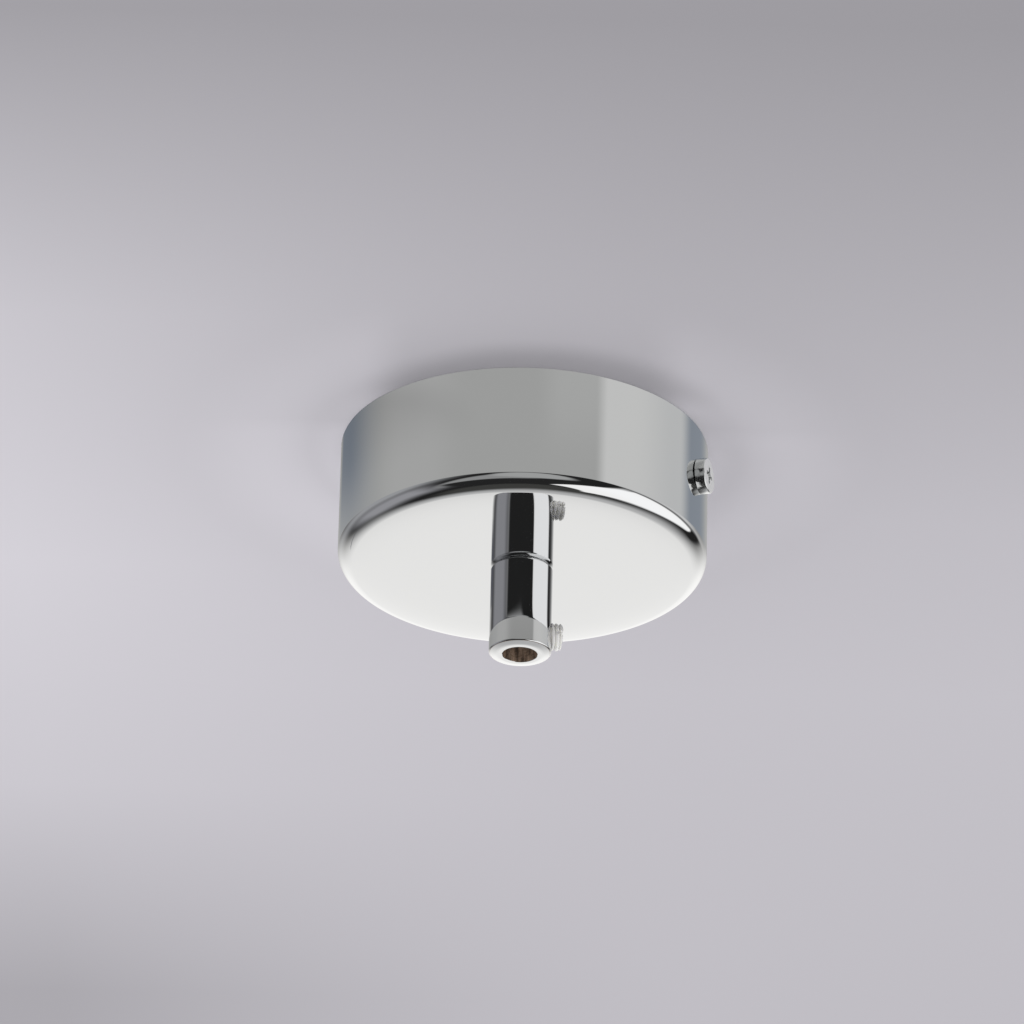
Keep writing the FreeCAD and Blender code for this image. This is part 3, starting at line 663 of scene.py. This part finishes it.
class ROSE_OT_nipple(Operator):
    """Make the hollow threaded tube with its nut and its two washers"""
    bl_idname = "rose.nipple"
    bl_label = "Nipple, nut and washers"

    def execute(self, context):
        low, high, radius = NIPPLE_LOW.z, NIPPLE_HIGH.z, NIPPLE_HIGH.x
        tube = threaded_rod(radius, TUBE_PITCH, low, high, TUBE_CHAMFER, steps=56)
        hole = moved(rod(TUBE_BORE, 2 * (high - low)), Matrix.Translation((0, 0, (low + high) / 2)))
        add_piece(
            combined(tube, hole), "nipple_tube", "rose", ["threaded_nipple"],
            [FINISH["zinc"]])
        for node, name in (("nipple_nut", "nipple_hex_nut"), ("nipple_washer", "nipple_flat_washer")):
            dress(node, name, "rose", FINISH["zinc"])

        base, top = (corner.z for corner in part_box("nipple_lock_washer"))
        middle, reach = (base + top) / 2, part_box("nipple_lock_washer")[1].x
        under, over = middle - RING_SHEET / 2, middle + RING_SHEET / 2
        ring = turned([
            (RING_BORE, under, 0, 0), (RING_RADIUS, under, 0, 0),
            (RING_RADIUS, over, 0, 0), (RING_BORE, over, 0, 0),
        ], steps=144)
        for index in range(TEETH):
            tooth = bar((reach - TOOTH_FOOT, TOOTH_WIDTH, RING_SHEET))
            place = (
                Matrix.Rotation(2 * math.pi * index / TEETH, 4, "Z")
                @ Matrix.Translation(((reach + TOOTH_FOOT) / 2, 0, middle))
                @ Matrix.Rotation(TOOTH_TWIST, 4, "X"))
            ring = combined(ring, moved(tooth, place), "UNION")
        add_piece(
            ring, "nipple_toothed_washer", "rose", ["nipple_lock_washer"],
            [FINISH["bright"]])
        return {"FINISHED"}


class ROSE_OT_bracket(Operator):
    """Make the folded and zinc-plated bracket"""
    bl_idname = "rose.bracket"
    bl_label = "Folded bracket"

    def execute(self, context):
        dress("mounting_bracket", "bracket_strip", "rose", FINISH["zinc"])
        return {"FINISHED"}


# The earth screw: its thread and its length, its head, and its slot's width and depth
EARTH_RADIUS, EARTH_PITCH, EARTH_SHANK = 2 * MM, 0.7 * MM, 8 * MM
EARTH_HEAD, EARTH_HEIGHT, EARTH_ROUND = 3.5 * MM, 2.4 * MM, 0.6 * MM
EARTH_SLOT = (MM, 1.2 * MM)


class ROSE_OT_earth(Operator):
    """Make the brass earth screw with its washer and its nut"""
    bl_idname = "rose.earth"
    bl_label = "Earth terminal"

    def execute(self, context):
        low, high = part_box("earth_screw")
        head = pin_head(EARTH_HEAD, EARTH_HEIGHT, EARTH_ROUND)
        shank = threaded_rod(EARTH_RADIUS, EARTH_PITCH, -EARTH_SHANK, OVERLAP, SHANK_CHAMFER)
        bm = cut_slot(combined(head, shank, "UNION"), EARTH_HEIGHT, *EARTH_SLOT, EARTH_HEAD)
        seat = Matrix.Translation((0, low.y + EARTH_HEIGHT, (low + high).z / 2))
        place = seat @ Matrix.Rotation(math.pi / 2, 4, "X")
        add_piece(
            moved(bm, place), "earth_screw_brass", "earth", ["earth_screw"], [FINISH["brass"]])
        dress("earth_cup_washer", "earth_washer_pressed", "earth", FINISH["brass"], BRASS_EDGE)
        dress("earth_nut", "earth_hex_nut", "rose", FINISH["brass"], BRASS_EDGE)
        return {"FINISHED"}


# A clamping screw of the terminals: its thread, its length and chamfer, and its slot
GRUB_RADIUS, GRUB_PITCH, GRUB_LENGTH, GRUB_CHAMFER = 1.5 * MM, 0.5 * MM, 6.5 * MM, 0.45 * MM
GRUB_SLOT = (0.6 * MM, 0.9 * MM)
# A screw that fixes the block: its thread, how far its shank reaches into its head, and that head
FIXING_RADIUS, FIXING_PITCH, FIXING_TUCK = 1.25 * MM, 0.45 * MM, 0.2 * MM
FIXING_HEAD, FIXING_HEIGHT, FIXING_ROUND = 2.25 * MM, 1.7 * MM, 0.4 * MM
FIXING_SLOT = (0.6 * MM, 0.8 * MM)


class ROSE_OT_terminals(Operator):
    """Make the moulded block with its sleeves, clamping screws and fixing screws"""
    bl_idname = "rose.terminals"
    bl_label = "Terminal block"

    def execute(self, context):
        dress("terminal_block", "block_moulding", "rose", FINISH["ivory"], BLOCK_EDGE)
        for number in (1, 2, 3):
            dress(
                f"terminal_sleeve_{number}", f"sleeve_brass_{number}", "rose", FINISH["brass"],
                BRASS_EDGE)

        # Screws that enter from below are made upright and turned over
        over = Matrix.Rotation(math.pi, 4, "X")
        grub = threaded_rod(GRUB_RADIUS, GRUB_PITCH, 0, GRUB_LENGTH, GRUB_CHAMFER)
        grub = moved(cut_slot(grub, GRUB_LENGTH, *GRUB_SLOT, GRUB_RADIUS), over)
        for number in range(1, 7):
            low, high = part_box(f"terminal_screw_{number}")
            place = Matrix.Translation(((low.x + high.x) / 2, (low.y + high.y) / 2, high.z))
            add_piece(
                moved(grub.copy(), place), f"terminal_grub_{number}", f"terminal_{number}",
                [f"terminal_screw_{number}"], [FINISH["bright"]])
        grub.free()

        head = pin_head(FIXING_HEAD, FIXING_HEIGHT, FIXING_ROUND, steps=48)
        low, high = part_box("block_screw_1")
        shank = threaded_rod(
            FIXING_RADIUS, FIXING_PITCH, FIXING_HEIGHT - (high.z - low.z), FIXING_TUCK, SHANK_CHAMFER)
        fixing = cut_slot(combined(head, shank, "UNION"), FIXING_HEIGHT, *FIXING_SLOT, FIXING_HEAD)
        fixing = moved(fixing, over)
        for number in (1, 2):
            low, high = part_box(f"block_screw_{number}")
            place = Matrix.Translation(
                ((low.x + high.x) / 2, (low.y + high.y) / 2, low.z + FIXING_HEIGHT))
            add_piece(
                moved(fixing.copy(), place), f"block_screw_small_{number}", "rose",
                [f"block_screw_{number}"], [FINISH["bright"]])
        fixing.free()
        return {"FINISHED"}


# The stage

def aim(look, azimuth, elevation=0.0):
    """A direction seen from the cup; azimuth 0 points at the camera's side, elevation is up."""
    turn = look.heading + math.radians(azimuth)
    level = math.cos(math.radians(elevation))
    return Vector((math.sin(turn) * level, -math.cos(turn) * level, math.sin(math.radians(elevation))))


def edge_ramp(tree, value, start, end):
    """A soft step from 0 at start to 1 at end."""
    low, high = (start, end) if start < end else (end, start)
    first, last = (0, 1) if start < end else (1, 0)
    return add_node(tree, "MapRange", {
        "Value": value, "From Min": low, "From Max": high, "To Min": first, "To Max": last},
        interpolation_type="SMOOTHSTEP").outputs[0]


# The studio's dark, its floor, and the elevations in degrees where one turns into the other
STUDIO_DARK = (0.018, 0.018, 0.018)
STUDIO_FLOOR = (0.055, 0.055, 0.052)
FLOOR_EDGE = (-58, -70)

# Each reflected patch: its shape, its left and right in degrees of azimuth and low and high in
# degrees of elevation, the softness of those edges, its lean and tip in degrees per degree, and
# its colour. Later patches lie over earlier ones, and a patch behind the cup is measured from
# straight behind.
FRONT_PATCHES = (
    ("box", (-156.3, -69, 0.4, 60), (66, 56, 28, 4), 0.82, 0, (0.372, 0.377, 0.392)),
    ("oval", (-38.8, 23.4, -43.2, 15.2), (0.42,), 0.83, 0.01, (0.312, 0.313, 0.313)),
    ("oval", (-18.2, 30, -19, 18.3), (0.4,), -0.22, 0.039, (0.41, 0.415, 0.412)),
    ("box", (-52.5, 40.6, -64.1, -27), (7, 8, 3, 7), 0.03, 0.05, (0.021, 0.021, 0.021)),
    ("box", (-123.1, -61.4, -43.7, -2), (26, 29, 27, 30), -0.02, 0, (0.339, 0.339, 0.36)),
    ("box", (57.3, 136.1, 18.4, 60), (8, 44, 9, 4), -0.1, 0.218, (0.675, 0.675, 0.675)),
    ("box", (60.5, 129.2, -73, 8.6), (4, 10, 3.5, 5), 0.7, 0.254, (1.11, 1.1, 1.085)),
    ("box", (56, 123.3, -48.3, 3.7), (7, 12, 40, 38), 0.4, 0.2, (1.163, 1.163, 1.163)),
)
BACK_PATCHES = (
    ("oval", (-42.5, 43.9, -66.4, -17.4), (1.37,), 0.14, -0.036, (0.52, 0.52, 0.52)),
    ("oval", (-37.5, 33.4, -33.5, 26.1), (1.17,), -0.08, 0.003, (1.147, 1.137, 1.115)),
)
FLAG_PATCHES = (
    ("box", (120.6, 134, -24, 5), (2.5, 8, 6, 5), 0, 0, (0.018, 0.018, 0.018)),
    ("box", (-158, -131, -26.4, -25.7), (8, 12, 0.4, 0.4), 0, 0, (0.115, 0.12, 0.14)),
)
CEILING_PATCHES = (
    ("box", (-220, 220, 25, 200), (1, 1, 3, 3), 0, 0, (0.423, 0.425, 0.417)),
    ("box", (14, 49.5, 27, 200), (20, 2, 0.6, 3), 0, 0, (0.47, 0.472, 0.464)),
    ("box", (48.8, 135, 25, 200), (9, 3, 3, 3), 0, 0, (0.66, 0.66, 0.65)),
    ("box", (90.1, 135, 25, 200), (40, 3, 3, 3), 0, 0, (0.575, 0.58, 0.58)),
    ("box", (122, 155.2, 25, 200), (16, 24, 3, 3), 0, 0, (0.262, 0.291, 0.331)),
    ("box", (-96, -50, 25, 200), (24, 30, 3, 3), 0, 0, (0.455, 0.455, 0.449)),
    ("box", (-164.2, -120, 26.4, 200), (9.5, 50, 0.9, 3), 0, 0, (0.215, 0.243, 0.286)),
)


def patch_share(tree, turn, rise, shape, edges, soft, lean, tip):
    """How far a direction lies inside a patch, from 0 to 1."""
    left, right, low, high = edges
    across = maths(tree, "MULTIPLY_ADD", rise, -lean, turn)
    rise = maths(tree, "MULTIPLY_ADD", turn, tip, maths(tree, "ADD", rise, -90 * tip))
    if shape == "oval":
        sides = [
            maths(tree, "DIVIDE", maths(tree, "SUBTRACT", value, (start + end) / 2), (end - start) / 2)
            for value, start, end in ((across, left, right), (rise, low, high))]
        reach = maths(tree, "SQRT", maths(
            tree, "ADD", maths(tree, "POWER", sides[0], 2), maths(tree, "POWER", sides[1], 2)))
        return edge_ramp(tree, reach, 1 + soft[0] / 2, 1 - soft[0] / 2)
    share = 1
    for value, side in ((across, 0), (rise, 2)):
        start, end, reach, back = *edges[side:side + 2], *soft[side:side + 2]
        share = maths(tree, "MULTIPLY", share, edge_ramp(tree, value, start - reach / 2, start + reach / 2))
        share = maths(tree, "MULTIPLY", share, edge_ramp(tree, value, end + back / 2, end - back / 2))
    return share


def studio_colour(tree, look):
    """The soft boxes and flags that the polished metal reflects, by direction."""
    ray = add_node(tree, "TexCoord").outputs["Generated"]

    def along(direction):
        dot = add_node(tree, "VectorMath", {0: ray, 1: direction}, operation="DOT_PRODUCT")
        return dot.outputs["Value"]

    def azimuth(side, front):
        return maths(tree, "MULTIPLY", maths(tree, "ARCTAN2", side, front), math.degrees(1))

    rise = maths(tree, "MULTIPLY", maths(tree, "ARCSINE", along((0, 0, 1))), math.degrees(1))
    from_front = azimuth(along(aim(look, 90)), along(aim(look, 0)))
    from_back = azimuth(along(aim(look, -90)), along(aim(look, 180)))
    colour = add_node(tree, "Mix", {
        0: edge_ramp(tree, rise, *FLOOR_EDGE), 6: (*STUDIO_DARK, 1), 7: (*STUDIO_FLOOR, 1)},
        data_type="RGBA").outputs[2]
    for turn, patches in (
            (from_front, FRONT_PATCHES), (from_back, BACK_PATCHES), (from_front, FLAG_PATCHES),
            (from_front, CEILING_PATCHES)):
        for *patch, tint in patches:
            share = patch_share(tree, turn, rise, *patch)
            mixed = add_node(tree, "Mix", {0: share, 6: colour, 7: (*tint, 1)}, data_type="RGBA")
            colour = mixed.outputs[2]
    return colour


def light_world(scene, look):
    """A plain pale world for the camera, even light, and a studio for reflections."""
    world = bpy.data.worlds.new("studio")
    scene.world = world
    world.use_nodes = True
    tree = world.node_tree
    tree.nodes.clear()
    path = add_node(tree, "LightPath")
    even = add_node(tree, "Background", {"Color": (1, 1, 1, 1), "Strength": look.room_light})
    plain = add_node(tree, "Background", {"Color": (*look.plain, 1)})
    studio = add_node(tree, "Background", {"Color": studio_colour(tree, look)})
    shiny = maths(tree, "MAXIMUM", path.outputs["Is Glossy Ray"], path.outputs["Is Transmission Ray"])
    lit = add_node(tree, "MixShader", {0: shiny, 1: even.outputs[0], 2: studio.outputs[0]})
    seen = add_node(tree, "MixShader", {
        0: path.outputs["Is Camera Ray"], 1: lit.outputs[0], 2: plain.outputs[0]})
    output = add_node(tree, "OutputWorld")
    tree.links.new(seen.outputs[0], output.inputs["Surface"])


# The ceiling's painted light, a gradient on its left and on its right for how the light falls across it:
# stops of distance past the cup's axis, and share of white. All these distances are in metres, and below 0 on
# the camera's side.
CEILING_LEFT = ((-0.19, 0.36), (-0.06, 0.60), (0.06, 0.70), (0.18, 0.655), (0.304, 0.46))
CEILING_RIGHT = ((-0.19, 0.352), (0.03, 0.575), (0.12, 0.61), (0.304, 0.60))
# Where the left gradient starts, where it is whole, and how slowly it starts
LEFT_EDGE, LEFT_BEND = (0.045, -0.112), 1.5
# Light that the cup throws on the ceiling: outer and inner distance from its axis, and strength.
# It fades towards the camera's side, but less on the left and right.
GLOWS = ((0.078, 0.048, 0.165), (0.048, 0.040, 0.125))
GLOW_FADE = (-0.03, -0.005)
GLOW_SIDES, GLOW_SIDE_SHARE = (0.024, 0.036), 0.75
# The cup's soft shadow on the camera's side: its middle, its rim, its start and its depth
SHADOW_MIDDLE, SHADOW_RIM = (0.002, -0.008, 0), (0.046, 0.0355)
SHADOW_START, SHADOW_DEPTH = (-0.02, -0.032), 0.79
# Rays that pass through the ceiling on the cup's left are dimmed: painted shade where the cup meets the
# ceiling, seen in the cup's reflections and from above
DIM_RIM, DIM_SIDE, DIM_SHARE = (0.075, 0.03), (-0.018, -0.036), 0.78


def ceiling_ramp(tree, away, points):
    """The paint's brightness along the view, which is painted light, from a list of points."""
    start, end = points[0][0], points[-1][0]
    share = add_node(tree, "MapRange", {"Value": away, "From Min": start, "From Max": end}).outputs[0]
    ramp = add_node(tree, "ValToRGB", {0: share})
    elements = ramp.color_ramp.elements
    elements[0].color, elements[1].color = (
        (level, level, level, 1) for _, level in (points[0], points[-1]))
    for distance, level in points[1:-1]:
        elements.new((distance - start) / (end - start)).color = (level, level, level, 1)
    return ramp.outputs[0]


def ceiling_material(look):
    """The ceiling from below, whose paint carries painted light and shade; from above, and for reflections,
    it lets rays through.
    """
    material = bpy.data.materials.new("ceiling paint")
    material.use_nodes = True
    tree = material.node_tree
    tree.nodes.clear()
    place = add_node(tree, "TexCoord").outputs["Object"]
    turned_place = add_node(
        tree, "Mapping", {"Vector": place, "Rotation": (0, 0, -look.heading)}).outputs[0]
    across, away = add_node(tree, "SeparateXYZ", {0: turned_place}).outputs[:2]
    leftness = add_node(tree, "MapRange", {
        "Value": across, "From Min": LEFT_EDGE[0], "From Max": LEFT_EDGE[1]}).outputs[0]
    level = add_node(tree, "Mix", {
        0: maths(tree, "POWER", leftness, LEFT_BEND), 6: ceiling_ramp(tree, away, CEILING_RIGHT),
        7: ceiling_ramp(tree, away, CEILING_LEFT)}, data_type="RGBA").outputs[2]
    tinted = add_node(tree, "Mix", {
        0: 1.0, 6: level, 7: (*look.ceiling, 1)}, data_type="RGBA", blend_type="MULTIPLY").outputs[2]

    from_axis = add_node(tree, "VectorMath", {0: place}, operation="LENGTH").outputs["Value"]
    wide, close = (
        maths(tree, "MULTIPLY", edge_ramp(tree, from_axis, outer, inner), strength)
        for outer, inner, strength in GLOWS)
    beside = edge_ramp(tree, maths(tree, "ABSOLUTE", across), *GLOW_SIDES)
    faded = maths(
        tree, "MAXIMUM", edge_ramp(tree, away, *GLOW_FADE),
        maths(tree, "MULTIPLY", beside, GLOW_SIDE_SHARE))
    glow = maths(tree, "MULTIPLY", maths(tree, "ADD", wide, close), faded)
    lifted = add_node(tree, "Mix", {
        0: glow, 6: tinted, 7: (1, 1, 1, 1)}, data_type="RGBA", blend_type="DODGE").outputs[2]

    from_middle = add_node(
        tree, "VectorMath", {0: turned_place, 1: SHADOW_MIDDLE}, operation="DISTANCE").outputs["Value"]
    shadow = maths(
        tree, "MULTIPLY", edge_ramp(tree, from_middle, *SHADOW_RIM), edge_ramp(tree, away, *SHADOW_START))
    lowered = add_node(tree, "Mix", {
        0: shadow, 6: lifted, 7: (SHADOW_DEPTH, SHADOW_DEPTH, SHADOW_DEPTH, 1)},
        data_type="RGBA", blend_type="MULTIPLY").outputs[2]
    paint = add_node(tree, "BsdfDiffuse", {"Color": lowered})

    dimmed = maths(
        tree, "MULTIPLY", edge_ramp(tree, from_axis, *DIM_RIM), edge_ramp(tree, across, *DIM_SIDE))
    passing = add_node(tree, "Mix", {
        0: dimmed, 6: (1, 1, 1, 1), 7: (DIM_SHARE, DIM_SHARE, DIM_SHARE, 1)},
        data_type="RGBA").outputs[2]
    clear = add_node(tree, "BsdfTransparent", {"Color": passing})
    path = add_node(tree, "LightPath")
    behind = add_node(tree, "NewGeometry").outputs["Backfacing"]
    hidden = maths(tree, "MAXIMUM", behind, maths(
        tree, "MAXIMUM", path.outputs["Is Glossy Ray"], path.outputs["Is Transmission Ray"]))
    mixed = add_node(tree, "MixShader", {0: hidden, 1: paint.outputs[0], 2: clear.outputs[0]})
    output = add_node(tree, "OutputMaterial")
    tree.links.new(mixed.outputs[0], output.inputs["Surface"])
    return material


# The ceiling starts just inside the rim and above it, and is this many rims wide
RIM_INSET, CEILING_GAP, CEILING_GROWTH = 0.5 * MM, 0.02 * MM, 300
# The soft lamp: its place in degrees of azimuth and elevation, its distance and its size
KEY_AIM, KEY_DISTANCE, KEY_SIZE = (-38, -52), 0.7, 0.45
# Where the camera aims: how far right of the axis, and how high. Its sensor is in millimetres.
TARGET_SIDE, TARGET_HEIGHT, SENSOR = -2.4345 * MM, -14.72 * MM, 36


class ROSE_OT_stage(Operator):
    """Make the ceiling, the studio light and the camera"""
    bl_idname = "rose.stage"
    bl_label = "Ceiling, light and camera"

    def execute(self, context):
        scene, look = context.scene, context.scene.rose_stage
        scene.view_settings.view_transform = "Standard"
        light_world(scene, look)

        bm = bmesh.new()
        bmesh.ops.create_circle(bm, cap_ends=False, segments=96, radius=CUP_HIGH.x - RIM_INSET)
        grown = bmesh.ops.extrude_edge_only(bm, edges=bm.edges[:])
        far = [item for item in grown["geom"] if isinstance(item, bmesh.types.BMVert)]
        bmesh.ops.scale(bm, vec=(CEILING_GROWTH, CEILING_GROWTH, 1), verts=far)
        bmesh.ops.translate(bm, vec=(0, 0, CEILING_GAP), verts=bm.verts)
        bmesh.ops.recalc_face_normals(bm, faces=bm.faces)
        if bm.faces[:][0].normal.z > 0:
            bmesh.ops.reverse_faces(bm, faces=bm.faces)
        mesh = bpy.data.meshes.new("ceiling")
        bm.to_mesh(mesh)
        bm.free()
        mesh.materials.append(ceiling_material(look))
        ceiling = bpy.data.objects.new("ceiling", mesh)
        scene.collection.objects.link(ceiling)

        lamp = bpy.data.lights.new("soft lamp", "AREA")
        lamp.shape, lamp.size, lamp.energy = "DISK", KEY_SIZE, look.key_power
        key = bpy.data.objects.new("soft lamp", lamp)
        key.location = aim(look, *KEY_AIM) * KEY_DISTANCE
        key.rotation_euler = (-key.location).to_track_quat("-Z", "Y").to_euler()
        key.visible_glossy = False
        key.visible_transmission = False
        scene.collection.objects.link(key)

        away = -aim(look, 0)
        forward = away * math.cos(look.climb) + Vector((0, 0, math.sin(look.climb)))
        level = aim(look, 90)
        upward = level.cross(forward)
        right = level * math.cos(look.roll) + upward * math.sin(look.roll)
        above = upward * math.cos(look.roll) - level * math.sin(look.roll)
        target = level * TARGET_SIDE + Vector((0, 0, TARGET_HEIGHT))
        lens = bpy.data.cameras.new("camera")
        lens.lens, lens.sensor_width = look.lens, SENSOR
        camera = bpy.data.objects.new("camera", lens)
        camera.matrix_world = Matrix.Translation(target - forward * look.distance) @ Matrix(
            (right, above, -forward)).transposed().to_4x4()
        scene.collection.objects.link(camera)
        scene.camera = camera
        return {"FINISHED"}


OPERATORS = (
    ROSE_OT_cup, ROSE_OT_grip, ROSE_OT_clear_screw, ROSE_OT_cover_screws, ROSE_OT_nipple,
    ROSE_OT_bracket, ROSE_OT_earth, ROSE_OT_terminals, ROSE_OT_stage,
)
GROUPS = {
    "rose_cup": CupSizes, "rose_grip": GripSizes, "rose_screw": ScrewSizes,
    "rose_finishes": Finishes, "rose_stage": StageLook,
}


class ROSE_PT_panel(Panel):
    """The sizes, finishes and pieces of the rose"""
    bl_idname = "ROSE_PT_panel"
    bl_label = "Ceiling Rose"
    bl_space_type = "VIEW_3D"
    bl_region_type = "UI"
    bl_category = "Ceiling Rose"

    def draw(self, context):
        for name, group in GROUPS.items():
            box = self.layout.box()
            box.label(text=group.__doc__)
            for field in group.__annotations__:
                box.prop(getattr(context.scene, name), field)
        for operator in OPERATORS:
            self.layout.operator(operator.bl_idname)


def register():
    """Register the groups, operators and panel."""
    for item in (*GROUPS.values(), *OPERATORS, ROSE_PT_panel):
        bpy.utils.register_class(item)
    for name, group in GROUPS.items():
        setattr(bpy.types.Scene, name, PointerProperty(type=group))


def unregister():
    """Take them all away again."""
    for name in GROUPS:
        delattr(bpy.types.Scene, name)
    for item in (ROSE_PT_panel, *reversed(OPERATORS), *reversed(GROUPS.values())):
        bpy.utils.unregister_class(item)


def main():
    """Build every piece and the stage."""
    register()
    make_finishes()
    for operator in OPERATORS:
        group, _, action = operator.bl_idname.partition(".")
        getattr(getattr(bpy.ops, group), action)()


if __name__ == "__main__":
    main()
